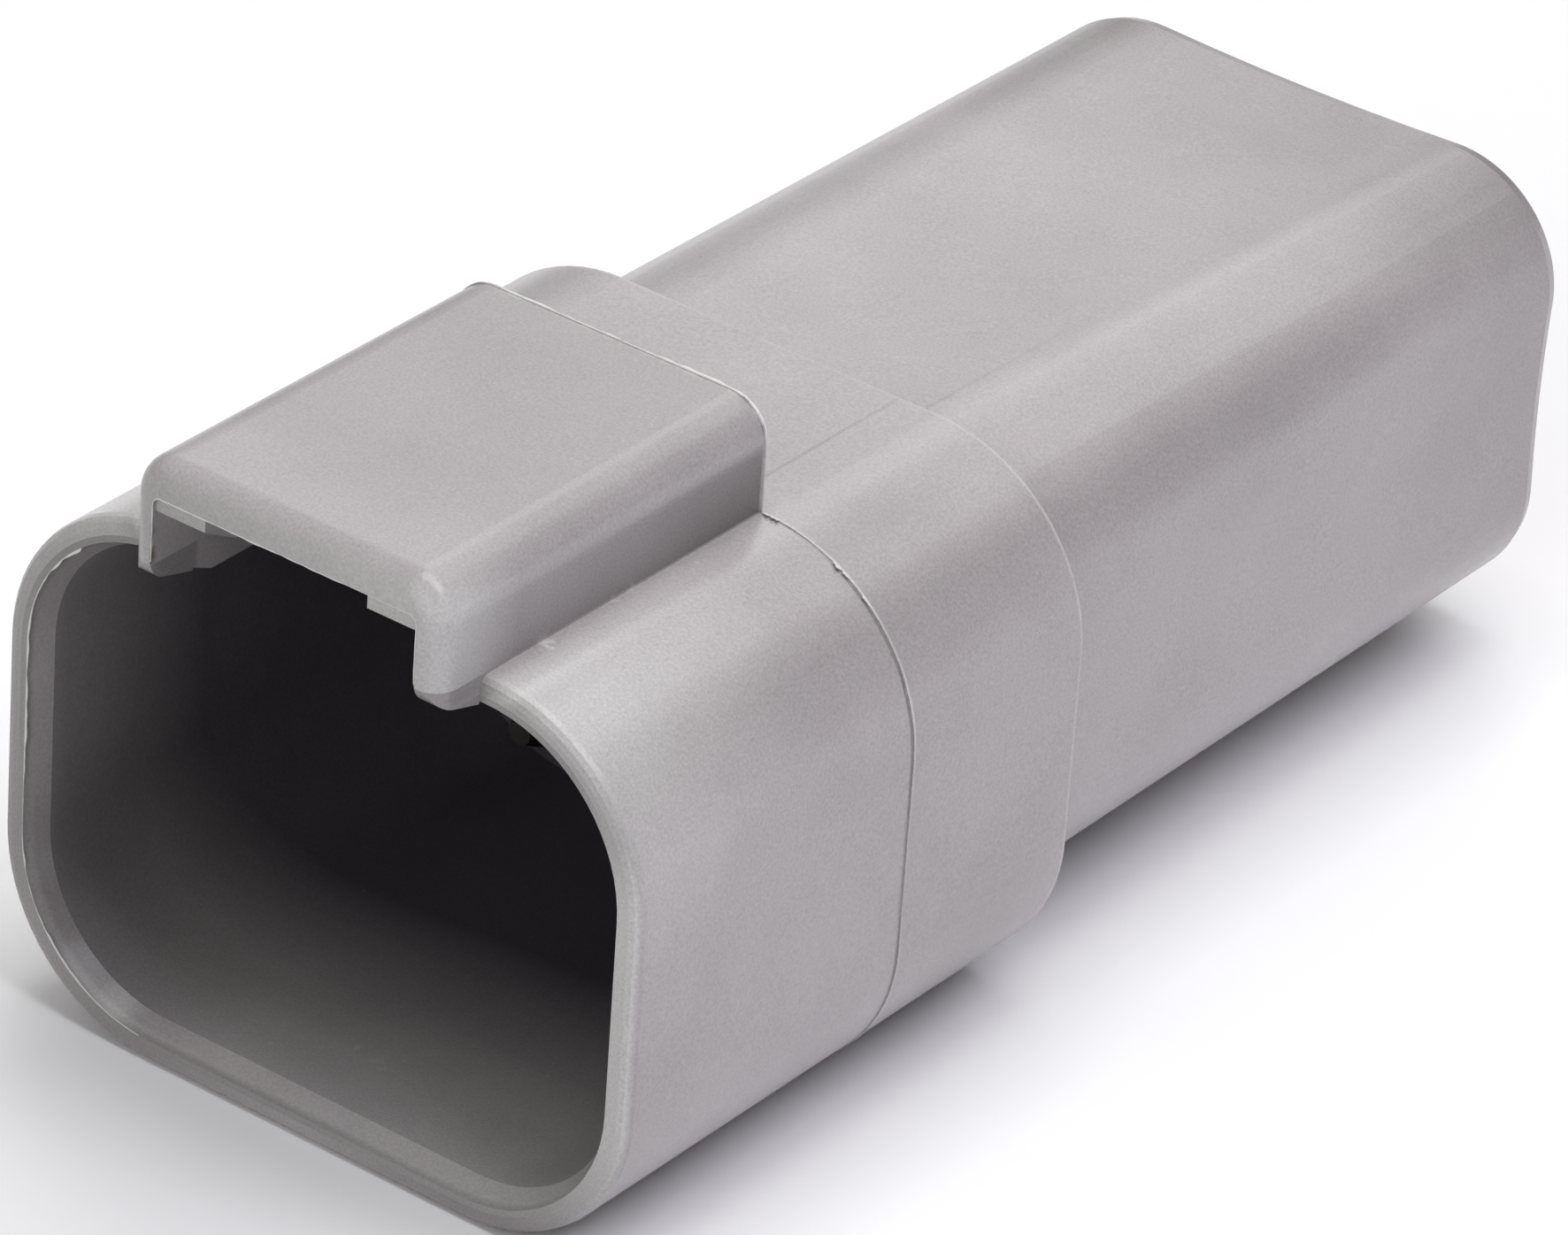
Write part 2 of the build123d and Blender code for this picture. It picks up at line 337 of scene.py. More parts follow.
def read_spot(tree):
    """What the masks read at a point, by name: its place, and the side of the shroud's wall."""
    place = object_place(tree)
    x, y, z = split(tree, place)
    side = calculate(tree, "ABSOLUTE", x)
    outside = above(tree, distance_from_core(tree, place), SHROUD_MIDDLE)
    return {
        "place": place,
        "x": x,
        "y": y,
        "z": z,
        "side": side,
        "down": calculate(tree, "SUBTRACT", side, z),
        "outside": outside,
        "inside": rest_of(tree, outside),
        "anywhere": 1.0,
    }


def soft_patch(tree, spot, strength, part, limits):
    """A soft mask on one part of the housing.

    Each limit names what it reads and gives two values in mm: the mask rises from none at the first
    to full at the second. With "near" before the name it is full at the first value, and gone at
    the second's distance to each side.
    """
    mask = calculate(tree, "MULTIPLY", spot[part], strength)
    for name, first, second in limits:
        shape = band if name.startswith("near ") else ramp
        reading = spot[name.removeprefix("near ")]
        mask = product(tree, mask, shape(tree, reading, first * MM, second * MM))
    return mask


print("middle of the wall, from the core:", round(SHROUD_MIDDLE / MM, 2), "mm")

# %% [markdown]
# ## The painted shade of the cavity
# The shroud is a deep blind box, and its far end looks almost black. Light alone leaves it greyer
# than that, so painted shade darkens the plastic's colour with depth, and under the hood too. The
# painted shade is fixed to the object: from every side the same wall is the same grey.

# %% Make the cavity's painted shade group
SHROUD_FLOOR_Y = 20.0 * MM
UNDER_HOOD_SIDE = 4.9 * MM
UNDER_HOOD_TOP = 11.3 * MM
UNDER_HOOD_FOOT = 5.0 * MM
UNDER_HOOD_BACK = 11.6 * MM
LATER_ON_FLOOR = 2.2 * MM
# Two patches change the painted shade: more of it in the lower left corner by the mouth, less on
# the left wall.
CORNER_BY_THE_MOUTH = (
    0.42, "anywhere", (("x", -3.0, -8.0), ("y", 0.1, 0.4), ("y", 5.0, 1.2), ("z", 0.0, -5.0))
)
LIGHTER_LEFT_WALL = (0.17, "anywhere", (("x", -7.0, -10.0),))


def make_cavity_shade_group():
    """How much painted shade a point gets for lying deep in the shroud or under the hood: 0
    outside, rising from the mouth.
    """
    group, start, end = new_group(
        "cavity_painted_shade",
        [("Start", NUMBER, 1.1 * MM), ("Reach", NUMBER, 7.4 * MM), ("Lean", NUMBER, 0.11)],
        [("Depth", NUMBER)],
    )
    spot = read_spot(group)
    under_hood = product(
        group,
        below(group, spot["side"], UNDER_HOOD_SIDE),
        below(group, spot["z"], UNDER_HOOD_TOP),
        above(group, spot["z"], UNDER_HOOD_FOOT),
        below(group, spot["y"], UNDER_HOOD_BACK),
    )
    hollow = product(
        group,
        largest(group, spot["inside"], under_hood),
        below(group, spot["y"], SHROUD_FLOOR_Y),
    )
    depth = calculate(group, "SUBTRACT", spot["y"], start.outputs["Start"])
    lean = product(group, spot["x"], start.outputs["Lean"])
    depth = calculate(group, "SUBTRACT", depth, lean)
    on_floor = product(group, ramp(group, spot["z"], -3.0 * MM, -7.4 * MM), LATER_ON_FLOOR)
    depth = calculate(group, "SUBTRACT", depth, on_floor)
    share = calculate(group, "DIVIDE", depth, start.outputs["Reach"], clamp=True)
    lighter = rest_of(group, soft_patch(group, spot, *LIGHTER_LEFT_WALL))
    behind_rim = ramp(group, spot["y"], 0.2 * MM, 1.4 * MM)
    share = product(group, share, lighter, behind_rim)
    corner = soft_patch(group, spot, *CORNER_BY_THE_MOUTH)
    deeper = calculate(group, "ADD", share, corner, clamp=True)
    group.links.new(product(group, deeper, hollow), end.inputs["Depth"])
    return group


cavity_shade_group = make_cavity_shade_group()
print("depth group has", len(cavity_shade_group.nodes), "nodes")

# %% [markdown]
# ## The mould's lines
# Two halves of the mould meet round the shroud. The solid has the small ridge that they leave. It
# shows as a thin dark line beside a pale one, both uneven: the dark one is painted shadow at the
# ridge's foot, the pale one is flash on the crest and partly a painted highlight. The hood's back
# edge has a pale line of flash, which also paints the ridge's shaded face pale as painted light;
# the shoulder has a pale line only, a painted highlight on its edge; and a slide has left a faint
# dark one on top of the rear. Each line is a narrow band along one coordinate, and noise makes it
# wander and thin out.

# %% Read the noises
FINE_NOISE = {"Scale": 900.0, "Detail": 4.0, "Roughness": 0.65}
BROAD_NOISE = {"Scale": 420.0, "Detail": 3.0, "Roughness": 0.6}
WANDER = 0.14 * MM
FAINTEST = 0.55


def read_noises(tree, spot):
    """Add a fine noise and a broad one, a place along the part that wanders, and patchiness."""
    spot["fine"] = noise_at(tree, spot["place"], **FINE_NOISE).outputs["Fac"]
    spot["broad"] = noise_at(tree, spot["place"], **BROAD_NOISE).outputs["Fac"]
    wander = product(tree, calculate(tree, "SUBTRACT", spot["fine"], 0.5), WANDER)
    spot["along"] = calculate(tree, "ADD", spot["y"], wander)
    patches = product(tree, ramp(tree, spot["broad"], 0.36, 0.62), 1.0 - FAINTEST)
    spot["uneven"] = calculate(tree, "ADD", patches, FAINTEST)


print("lines wander by up to", round(WANDER / 2 / MM, 3), "mm to each side")

# %% Draw the parting line
PARTING_Y = 12.2 * MM
RIDGE_SHADOW_Y = PARTING_Y - 0.115 * MM
RIDGE_SHADOW_STRENGTH = 0.85
CREST_HALF = 0.065 * MM
LINE_FOOT = -8.5 * MM


def draw_parting_line(tree, spot, width):
    """The painted shadow at the foot of the ridge, and the pale crest on it, flash and partly a
    painted highlight; both fade low on the side.
    """
    low_side = ramp(tree, spot["down"], 6.0 * MM, 10.0 * MM)
    on_line = product(tree, spot["outside"], above(tree, spot["z"], LINE_FOOT), spot["uneven"])
    ridge_shadow = product(
        tree,
        band(tree, spot["along"], RIDGE_SHADOW_Y, width),
        on_line,
        ramp(tree, spot["down"], -0.3 * MM, 1.3 * MM),
        rest_of(tree, product(tree, low_side, 0.35)),
        RIDGE_SHADOW_STRENGTH,
    )
    crest = product(
        tree,
        band(tree, spot["along"], PARTING_Y, CREST_HALF),
        on_line,
        ramp(tree, spot["down"], -3.3 * MM, -1.9 * MM),
        rest_of(tree, product(tree, low_side, 0.7)),
    )
    return ridge_shadow, crest


print("parting line at y", round(PARTING_Y / MM, 2), "mm")

# %% Draw the hood's, the shoulder's and the slide's lines
SHOULDER_Y = 20.2 * MM
SHOULDER_EDGE_Y, SHOULDER_EDGE_HALF = SHOULDER_Y - 0.19 * MM, 0.09 * MM
SHOULDER_STRENGTH, SHOULDER_ON_TOP = 0.55, 0.35
HOOD_EDGE_Y, HOOD_EDGE_HALF = PARTING_Y - 0.03 * MM, 0.12 * MM
HOOD_EDGE_TOP = 12.06 * MM
HOOD_EDGE_CORNER = 16.82 * MM
HOOD_EDGE_SIDE = 5.46 * MM
HOOD_EDGE_FOOT = 8.8 * MM
SLIDE_X, SLIDE_HALF = 4.35 * MM, 0.10 * MM
SLIDE_LOWEST = 6.5 * MM
SLIDE_STRENGTH = 0.27


def draw_hood_edge(tree, spot):
    """The pale line of flash round the hood's back edge, over its top, its corners and its sides;
    it also paints the ridge's shaded front face pale, as painted light.
    """
    corner = above(tree, calculate(tree, "ADD", spot["side"], spot["z"]), HOOD_EDGE_CORNER)
    sides = product(
        tree,
        above(tree, spot["side"], HOOD_EDGE_SIDE),
        above(tree, spot["z"], HOOD_EDGE_FOOT),
        below(tree, spot["down"], 0.0),
    )
    outline = largest(tree, above(tree, spot["z"], HOOD_EDGE_TOP), corner, sides)
    edge = band(tree, spot["along"], HOOD_EDGE_Y, HOOD_EDGE_HALF)
    return product(tree, edge, outline, spot["uneven"])


def draw_shoulder_highlight(tree, spot):
    """A painted highlight on the edge where the shroud steps down to the rear, fainter on the top.
    """
    from_top = ramp(tree, spot["down"], -5.0 * MM, 2.0 * MM)
    shown = calculate(tree, "ADD", from_top, SHOULDER_ON_TOP, clamp=True)
    edge = band(tree, spot["y"], SHOULDER_EDGE_Y, SHOULDER_EDGE_HALF)
    return product(tree, edge, spot["outside"], spot["uneven"], shown, SHOULDER_STRENGTH)


def draw_slide_line(tree, spot):
    """The faint dark line behind the hood, which fades towards the rear."""
    return product(
        tree,
        band(tree, spot["x"], SLIDE_X, SLIDE_HALF),
        above(tree, spot["y"], PARTING_Y),
        above(tree, spot["z"], SLIDE_LOWEST),
        ramp(tree, spot["y"], 30.0 * MM, 16.0 * MM),
        SLIDE_STRENGTH,
    )


print("shoulder edge at y", round(SHOULDER_EDGE_Y / MM, 2), "mm")

# %% [markdown]
# ## Painted light and shade
# Soft patches of colour stand in for light and shade. The right of the rim, the hood's nose, the
# front, a streak on the rounded corner and the floor by the mouth are painted paler, as painted
# light and painted highlights. The rounded corner, the foot of the side, the hood's top, the rim
# and the rear end are painted darker, as painted shade. Each patch is one row of a table: how
# strong it is, the part of the housing it lies on, and its limits in mm. A row is easy to read and
# to change.

# %% List the painted light and shade
# Painted light: each row paints a patch paler, as if more light fell there.
PAINTED_LIGHT_PATCHES = {
    "right of the rim": (
        0.95, "rim_land", (("x", 4.0, 10.5), ("z", -8.0, -3.0), ("z", 7.0, 3.5))
    ),
    "nose of the hood": (
        0.80, "hood_height", (("x", -8.0, 4.0), ("y", 1.6, -1.3), ("z", 12.0, 11.3))
    ),
    "front": (0.55, "outside", (("y", 9.0, 1.0), ("down", -2.6, -0.5), ("down", 14.0, 1.0))),
    "streak on the corner": (0.62, "outside", (("near down", -1.9, 1.0), ("y", 8.0, 1.0))),
    "floor at the mouth": (
        0.45, "inside", (("x", -6.0, 3.0), ("near y", 2.6, 3.6), ("z", -5.0, -7.3))
    ),
}
# Painted shade: each row paints a patch darker, as if it lay in shade.
PAINTED_SHADE_PATCHES = {
    "corner": (0.23, "skin", (("near down", 3.0, 2.2),)),
    "middle of the corner": (0.20, "skin", (("near down", -0.6, 2.4), ("near y", 15.0, 6.0))),
    "foot of the side": (0.28, "skin", (("near y", 16.2, 4.5), ("z", 0.0, -6.0))),
    "top of the hood": (0.18, "anywhere", (("y", -2.4, 3.0), ("z", 10.9, 11.9))),
}
# Painted shade towards the rear end and its corner.
REAR_PAINTED_SHADE_PATCHES = {
    "rear end": (0.22, "skin", (("y", 36.0, 48.0),)),
    "corner of the rear end": (0.50, "skin", (("near down", 0.5, 3.6), ("y", 36.0, 48.0))),
}
# Painted shade on the rim's land: darker at its left, its top and its bottom.
RIM_PAINTED_SHADE_PATCHES = {
    "left of the rim": (0.28, "rim_land", (("x", 0.0, -9.0),)),
    "top of the rim": (0.24, "rim_land", (("z", 4.0, 7.0),)),
}
RIM_BOTTOM_PAINTED_SHADE = (0.50, "rim_land", (("z", -4.5, -8.2),))
RIM_TOP_Z = 8.75 * MM
ABOVE_SHROUD_Z = 8.77 * MM


def read_parts(tree, spot):
    """Add the parts that the patches name: the rim's land, the hood, and the skin of the body."""
    front = ramp(tree, spot["y"], 0.25 * MM, 0.08 * MM)
    behind_shoulder = ramp(tree, spot["y"], 20.1 * MM, 20.3 * MM)
    spot["rim_land"] = product(tree, front, below(tree, spot["z"], RIM_TOP_Z))
    spot["hood_height"] = above(tree, spot["z"], ABOVE_SHROUD_Z)
    spot["skin"] = largest(tree, spot["outside"], behind_shoulder)


def paint_patches(tree, spot, patches):
    """One mask for each row of a table."""
    return [soft_patch(tree, spot, *patch) for patch in patches.values()]


print("patches:", ", ".join([*PAINTED_LIGHT_PATCHES, *PAINTED_SHADE_PATCHES, *REAR_PAINTED_SHADE_PATCHES, *RIM_PAINTED_SHADE_PATCHES]))

# %% [markdown]
# ## Small dirt and painted shade
# Painted shade darkens the fold beside the hood's foot, with a few pale crumbs of flash in it. A
# few specks lie on the outside, and the hood's left leg has a thin brown stain on its inner edge.
# The specks are the cell centres of a Voronoi texture, of which a random few are kept.

# %% Draw the dirt and the fold's painted shade
CRUMBS = (1.0, "anywhere", (("near x", 5.75, 0.45), ("near z", 8.7, 0.3), ("y", 12.2, 11.9)))
STAIN = (0.8, "hood_height", (("near x", -4.65, 0.05), ("y", -1.5, -1.7), ("z", 10.75, 10.6)))
# The fold's painted shade, beside the hood's foot.
FOLD_PAINTED_SHADE = (0.42, "hood_height", (("near x", 5.5, 0.2), ("y", -4.0, 12.0)))
FOLD_BACK_Y = PARTING_Y - 0.08 * MM
SPECK_SCALE = 330.0
SPECK_SIZE = 0.012
SPECK_RARITY = 0.86
SPECK_STRENGTH = 0.5


def draw_dirt_and_fold_shade(tree, spot):
    """The painted shade in the fold by the hood, the pale crumbs in it, and the brown stain."""
    below_corner = ramp(tree, spot["z"], 11.0 * MM, 10.6 * MM)
    towards_foot = ramp(tree, spot["z"], 11.4 * MM, 8.7 * MM)
    lower = calculate(tree, "ADD", below_corner, towards_foot)
    before_back = below(tree, spot["y"], FOLD_BACK_Y)
    fold = product(tree, soft_patch(tree, spot, *FOLD_PAINTED_SHADE), before_back, lower)
    crumbs = product(
        tree,
        soft_patch(tree, spot, *CRUMBS),
        ramp(tree, spot["broad"], 0.50, 0.62),
        ramp(tree, spot["fine"], 0.56, 0.62),
    )
    stain = product(tree, soft_patch(tree, spot, *STAIN), ramp(tree, spot["fine"], 0.42, 0.56))
    return fold, crumbs, stain


def draw_specks(tree, spot):
    """Small dark dots on the outside, at a few of the cells' centres."""
    dots = set_inputs(add_node(tree, "ShaderNodeTexVoronoi"), Scale=SPECK_SCALE)
    tree.links.new(spot["place"], dots.inputs["Vector"])
    shades = add_node(tree, "ShaderNodeSeparateColor")
    tree.links.new(dots.outputs["Color"], shades.inputs["Color"])
    dot = below(tree, dots.outputs["Distance"], SPECK_SIZE)
    rare = above(tree, shades.outputs["Red"], SPECK_RARITY)
    return product(tree, dot, rare, spot["outside"], SPECK_STRENGTH)


print("stain on the hood's left leg, at x", STAIN[2][0][1], "mm")

# %% Join the marks and the painted light and shade in one group


def make_marks_and_light_group():
    """All the marks, painted shade and painted highlights of the housing, as masks for dark, bright
    and brown.
    """
    group, start, end = new_group(
        "mould_marks_and_painted_light",
        [("Line Width", NUMBER, 0.07 * MM)],
        [("Dark", NUMBER), ("Bright", NUMBER), ("Stain", NUMBER)],
    )
    spot = read_spot(group)
    read_noises(group, spot)
    read_parts(group, spot)
    ridge_shadow, crest = draw_parting_line(group, spot, start.outputs["Line Width"])
    fold, crumbs, stain = draw_dirt_and_fold_shade(group, spot)
    # Painted shade: the rear, the dark patches and the rim's patches; the ridge's shadow and the
    # fold's are painted shade too, and the bright mask holds painted highlights beside the flash.
    rear = calculate(group, "ADD", *paint_patches(group, spot, REAR_PAINTED_SHADE_PATCHES))
    shade = largest(group, *paint_patches(group, spot, PAINTED_SHADE_PATCHES), rear)
    rim_shade = calculate(group, "ADD", *paint_patches(group, spot, RIM_PAINTED_SHADE_PATCHES))
    lines = largest(group, ridge_shadow, draw_slide_line(group, spot), fold)
    dark = largest(
        group,
        calculate(group, "ADD", lines, shade, clamp=True),
        soft_patch(group, spot, *RIM_BOTTOM_PAINTED_SHADE),
        rim_shade,
        draw_specks(group, spot),
    )
    bright = largest(
        group,
        crest,
        draw_hood_edge(group, spot),
        draw_shoulder_highlight(group, spot),
        crumbs,
        *paint_patches(group, spot, PAINTED_LIGHT_PATCHES),
    )
    for name, mask in (("Dark", dark), ("Bright", bright), ("Stain", stain)):
        group.links.new(mask, end.inputs[name])
    return group


marks_and_light_group = make_marks_and_light_group()
print("marks group has", len(marks_and_light_group.nodes), "nodes")

# %% [markdown]
# ## The plastics
# The housing, its flash, the wedge and the seal are all moulded, so one function makes the four,
# with the grain group and its own values for each. Only the housing has the cavity's painted shade,
# the marks and the painted light and shade. Their masks mix its grey with darker and paler ones
# before the grain goes over it.

# %% Make the plastics
# The deep grey is the cavity's painted shade; the darker grey colours the marks and the painted
# shade, the paler one the flash and the painted highlights.
GREY = (0.462, 0.431, 0.429, 1.0)
CAVITY_SHADE_GREY = (0.084, 0.073, 0.088, 1.0)
MARK_AND_SHADE_GREY = (0.150, 0.140, 0.132, 1.0)
FLASH_AND_HIGHLIGHT_GREY = (0.700, 0.690, 0.670, 1.0)
STAIN_BROWN = (0.130, 0.060, 0.030, 1.0)
PALE_SKIN = (0.86, 0.85, 0.82, 1.0)
BLACK = (0.022, 0.022, 0.024, 1.0)
RUST_RED = (0.36, 0.075, 0.03, 1.0)
GRAIN_DEPTH = 0.02 * MM


def mark_colour(tree, colour):
    """The housing's colour with the cavity's painted shade, its marks, and its painted light and
    shade.
    """
    depth = add_node(tree, "ShaderNodeGroup", node_tree=cavity_shade_group)
    marks = add_node(tree, "ShaderNodeGroup", node_tree=marks_and_light_group)
    tone = mix_colours(tree, depth.outputs["Depth"], colour, CAVITY_SHADE_GREY)
    tone = mix_colours(tree, marks.outputs["Dark"], tone, MARK_AND_SHADE_GREY)
    tone = mix_colours(tree, marks.outputs["Bright"], tone, FLASH_AND_HIGHLIGHT_GREY)
    return mix_colours(tree, marks.outputs["Stain"], tone, STAIN_BROWN)


def make_plastic(name, colour, grain_size, tone_change, roughness, bump, marked=False):
    """A satin moulded plastic; the marked one has the mould's marks, painted light and shade, and
    painted shade in the cavity.
    """
    material, tree = new_material(name)
    output = add_node(tree, "ShaderNodeOutputMaterial")
    shader = set_inputs(add_node(tree, "ShaderNodeBsdfPrincipled"), IOR=1.5)
    grain = add_node(tree, "ShaderNodeGroup", node_tree=grain_group)
    set_inputs(grain, Colour=colour, Grain_Size=grain_size, Tone_Change=tone_change)
    set_inputs(grain, Base_Roughness=roughness)
    if marked:
        tree.links.new(mark_colour(tree, colour), grain.inputs["Colour"])
    relief = set_inputs(add_node(tree, "ShaderNodeBump"), Strength=bump, Distance=GRAIN_DEPTH)
    tree.links.new(grain.outputs["Height"], relief.inputs["Height"])
    tree.links.new(grain.outputs["Colour"], shader.inputs["Base Color"])
    tree.links.new(grain.outputs["Roughness"], shader.inputs["Roughness"])
    tree.links.new(relief.outputs["Normal"], shader.inputs["Normal"])
    tree.links.new(shader.outputs["BSDF"], output.inputs["Surface"])
    return material


housing_plastic = make_plastic("grey_moulded_nylon", GREY, 12000.0, 0.60, 0.25, 0.25, marked=True)
flash_plastic = make_plastic("thin_pale_flash", PALE_SKIN, 9000.0, 0.20, 0.30, 0.2)
wedge_plastic = make_plastic("black_moulded_wedge", BLACK, 9000.0, 0.2, 0.4, 0.4)
seal_silicone = make_plastic("rust_red_silicone", RUST_RED, 5000.0, 0.16, 0.45, 0.5)
print("plastics:", housing_plastic.name, wedge_plastic.name, seal_silicone.name)

# %% [markdown]
# ## The contacts' metal
# The contacts are turned from copper alloy and plated with nickel. Turning leaves fine rings across
# their length, and the plating dulls in patches. A wave texture along Y gives the rings as bump,
# and a noise gives the patches. No bright metal shows in the cavity, so the nickel is painted dark,
# as painted shade.

# %% Make the plated metal
# Both nickels are painted dark, as painted shade for the deep cavity.
SHADED_DULL_NICKEL = (0.05, 0.047, 0.043, 1.0)
SHADED_CLEAN_NICKEL = (0.09, 0.086, 0.08, 1.0)
RING_DEPTH = 0.005 * MM


def make_plated_metal():
    """Nickel-plated copper alloy, turned on a lathe: fine rings across its length; its colour is
    painted dark, as painted shade.
    """
    material, tree = new_material("nickel_plated_contact")
    output = add_node(tree, "ShaderNodeOutputMaterial")
    shader = set_inputs(add_node(tree, "ShaderNodeBsdfPrincipled"), Metallic=1.0)
    place = object_place(tree)
    rings = add_node(tree, "ShaderNodeTexWave", wave_type="BANDS", bands_direction="Y")
    set_inputs(rings, Scale=9000.0, Distortion=1.5, Detail=2.0)
    tree.links.new(place, rings.inputs["Vector"])
    patches = noise_at(tree, place, Scale=700.0, Detail=4.0).outputs["Fac"]
    colour = mix_colours(tree, patches, SHADED_DULL_NICKEL, SHADED_CLEAN_NICKEL)
    tree.links.new(colour, shader.inputs["Base Color"])
    gloss = calculate(tree, "ADD", product(tree, patches, 0.2), 0.42)
    tree.links.new(gloss, shader.inputs["Roughness"])
    relief = set_inputs(add_node(tree, "ShaderNodeBump"), Strength=0.2, Distance=RING_DEPTH)
    tree.links.new(rings.outputs["Fac"], relief.inputs["Height"])
    tree.links.new(relief.outputs["Normal"], shader.inputs["Normal"])
    tree.links.new(shader.outputs["BSDF"], output.inputs["Surface"])
    return material


contact_metal = make_plated_metal()
print("metal:", contact_metal.name)

# %% Dress the solids
FINISHES = {
    "housing": housing_plastic,
    "wedge_lock": wedge_plastic,
    "wire_seal": seal_silicone,
    **{f"contact_pin_{number}": contact_metal for number in range(1, 5)},
}
for name, material in FINISHES.items():
    mesh = nodes[name].data
    mesh.materials.clear()
    mesh.materials.append(material)
print("dressed", len(FINISHES), "solids")

# %% [markdown]
# ## Flash from the mould
# Where two halves of a mould meet, a skin of plastic creeps out and dries thin and pale. On this
# part it hangs on the left of the rim's inner edge, round the opening under the hood, on the hood's
# back edge and in three burrs on the parting line. Each skin is a strip along the real edge whose
# height wanders, as it does on a moulding; a modeller could draw it by hand, but noise is quicker.

# %% Trace the edges that flash hangs on
RIM_LAND = 0.75 * MM
HOOD_FRONT_Y = -1.8 * MM
HOOD_HALF_WIDTH = 5.5 * MM
HOOD_TOP = 12.1 * MM
HOOD_CORNER = 1.3 * MM
HOOD_FOOT = 8.75 * MM
CHANNEL_HALF_WIDTH = 4.65 * MM
CHANNEL_TOP = 10.98 * MM
CHANNEL_CORNER = 0.3 * MM
CHANNEL_FOOT = 8.9 * MM
RIDGE_RADIUS = SHROUD_CORNER + 0.04 * MM
STEP, FINE_STEP = 0.1 * MM, 0.04 * MM


def arc(centre, radius, start, end, y, steps=24):
    """Points and outward directions on an arc, in degrees from +X towards +Z."""
    places = []
    for step in range(steps + 1):
        angle = math.radians(start + (end - start) * step / steps)
        out = Vector((math.cos(angle), 0, math.sin(angle)))
        places.append((Vector((centre[0], y, centre[1])) + out * radius, out))
    return places


def rounded_path(width, height, corner, y):
    """All round a rounded rectangle, from the top middle towards +X."""
    x, z = width / 2 - corner, height / 2 - corner
    places = arc((x, z), corner, 90, 0, y) + arc((x, -z), corner, 0, -90, y)
    return places + arc((-x, -z), corner, -90, -180, y) + arc((-x, z), corner, 180, 90, y)


def arch_path(half_width, top, corner, foot, y):
    """Up one side, over a rounded top and down the other side of an arch, from -X to +X."""
    centre_x, centre_z = half_width - corner, top - corner
    left, right = Vector((-1, 0, 0)), Vector((1, 0, 0))
    places = [(Vector((-half_width, y, foot)), left)]
    places += arc((-centre_x, centre_z), corner, 180, 90, y, 8)
    places += arc((centre_x, centre_z), corner, 90, 0, y, 8)
    return places + [(Vector((half_width, y, foot)), right)]


def resample(places, spacing):
    """The same path with points at an even spacing."""
    even = [places[0]]
    for (start, start_out), (end, end_out) in zip(places, places[1:]):
        count = max(1, round((end - start).length / spacing))
        for step in range(1, count + 1):
            share = step / count
            out = start_out.lerp(end_out, share).normalized()
            even.append((start.lerp(end, share), out))
    return even


def trace_left_rim():
    """The left part of the rim's inner edge, from low down up to beside the hood."""
    width, height = SHROUD_WIDTH - 2 * RIM_LAND, SHROUD_HEIGHT - 2 * RIM_LAND
    edge = resample(rounded_path(width, height, SHROUD_CORNER - RIM_LAND, 0.0), STEP)
    return [item for item in edge if item[0].x < -6.0 * MM and item[0].z <= 7.0 * MM]


def trace_ridge(start, end):
    """A stretch of the parting line's ridge on the right upper corner, in degrees."""
    centre = (SHROUD_CORE[0], SHROUD_CORE[2])
    return resample(arc(centre, RIDGE_RADIUS, start, end, PARTING_Y), FINE_STEP)


left_rim = trace_left_rim()
CHANNEL = (CHANNEL_HALF_WIDTH, CHANNEL_TOP, CHANNEL_CORNER, CHANNEL_FOOT)
opening = resample(arch_path(*CHANNEL, HOOD_FRONT_Y), STEP)
HOOD = (HOOD_HALF_WIDTH, HOOD_TOP, HOOD_CORNER, HOOD_FOOT)
hood_back = resample(arch_path(*HOOD, PARTING_Y), STEP)
print("points on rim, opening and hood:", len(left_rim), len(opening), len(hood_back))

# %% Make the strips of flash
FLASH_THICKNESS = 0.02 * MM
ROOT_DEPTH = 0.01 * MM
SMOOTH, RAGGED = 2600, 9000
SLOW = 500
FADE_SPAN = 16 * MM


def flash_height(place, seed, fineness):
    """How much of its full height the flash has at a place, from 0 to 1."""
    quick = noise.noise(place * fineness + Vector((seed, 0, 0)))
    slow = noise.noise(place * SLOW + Vector((0, seed, 0)))
    return min(1.0, max(0.0, 0.35 + 0.5 * quick + 0.8 * slow))


def make_strip(name, places, lean, least, most, seed, right_share=1.0, fineness=SMOOTH):
    """A thin strip along a path: it leans outward and back by the lean's two shares.

    On the right it keeps only a share of the height that it has on the left. The higher the
    fineness, the more ragged its edge.
    """
    mesh = bpy.data.meshes.new(name)
    bm = bmesh.new()
    for index, (place, out) in enumerate(places):
        at_end = index in (0, len(places) - 1)
        share = 0.0 if at_end else flash_height(place, seed, fineness)
        across = min(1.0, max(0.0, 0.5 + place.x / FADE_SPAN))
        share *= 1.0 + (right_share - 1.0) * across
        direction = (out * lean[0] + Vector((0, lean[1], 0))).normalized()
        foot = bm.verts.new(place - direction * ROOT_DEPTH)
        tip = bm.verts.new(place + direction * (least + (most - least) * share))
        if index:
            bm.faces.new((last_foot, foot, tip, last_tip))
        last_foot, last_tip = foot, tip
    bmesh.ops.recalc_face_normals(bm, faces=bm.faces)
    bmesh.ops.solidify(bm, geom=bm.faces[:], thickness=FLASH_THICKNESS)
    bmesh.ops.recalc_face_normals(bm, faces=bm.faces)
    bm.to_mesh(mesh)
    bm.free()
    mesh.materials.append(flash_plastic)
    strip = bpy.data.objects.new(name, mesh)
    bpy.context.scene.collection.objects.link(strip)
    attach(strip, "root")
    return strip


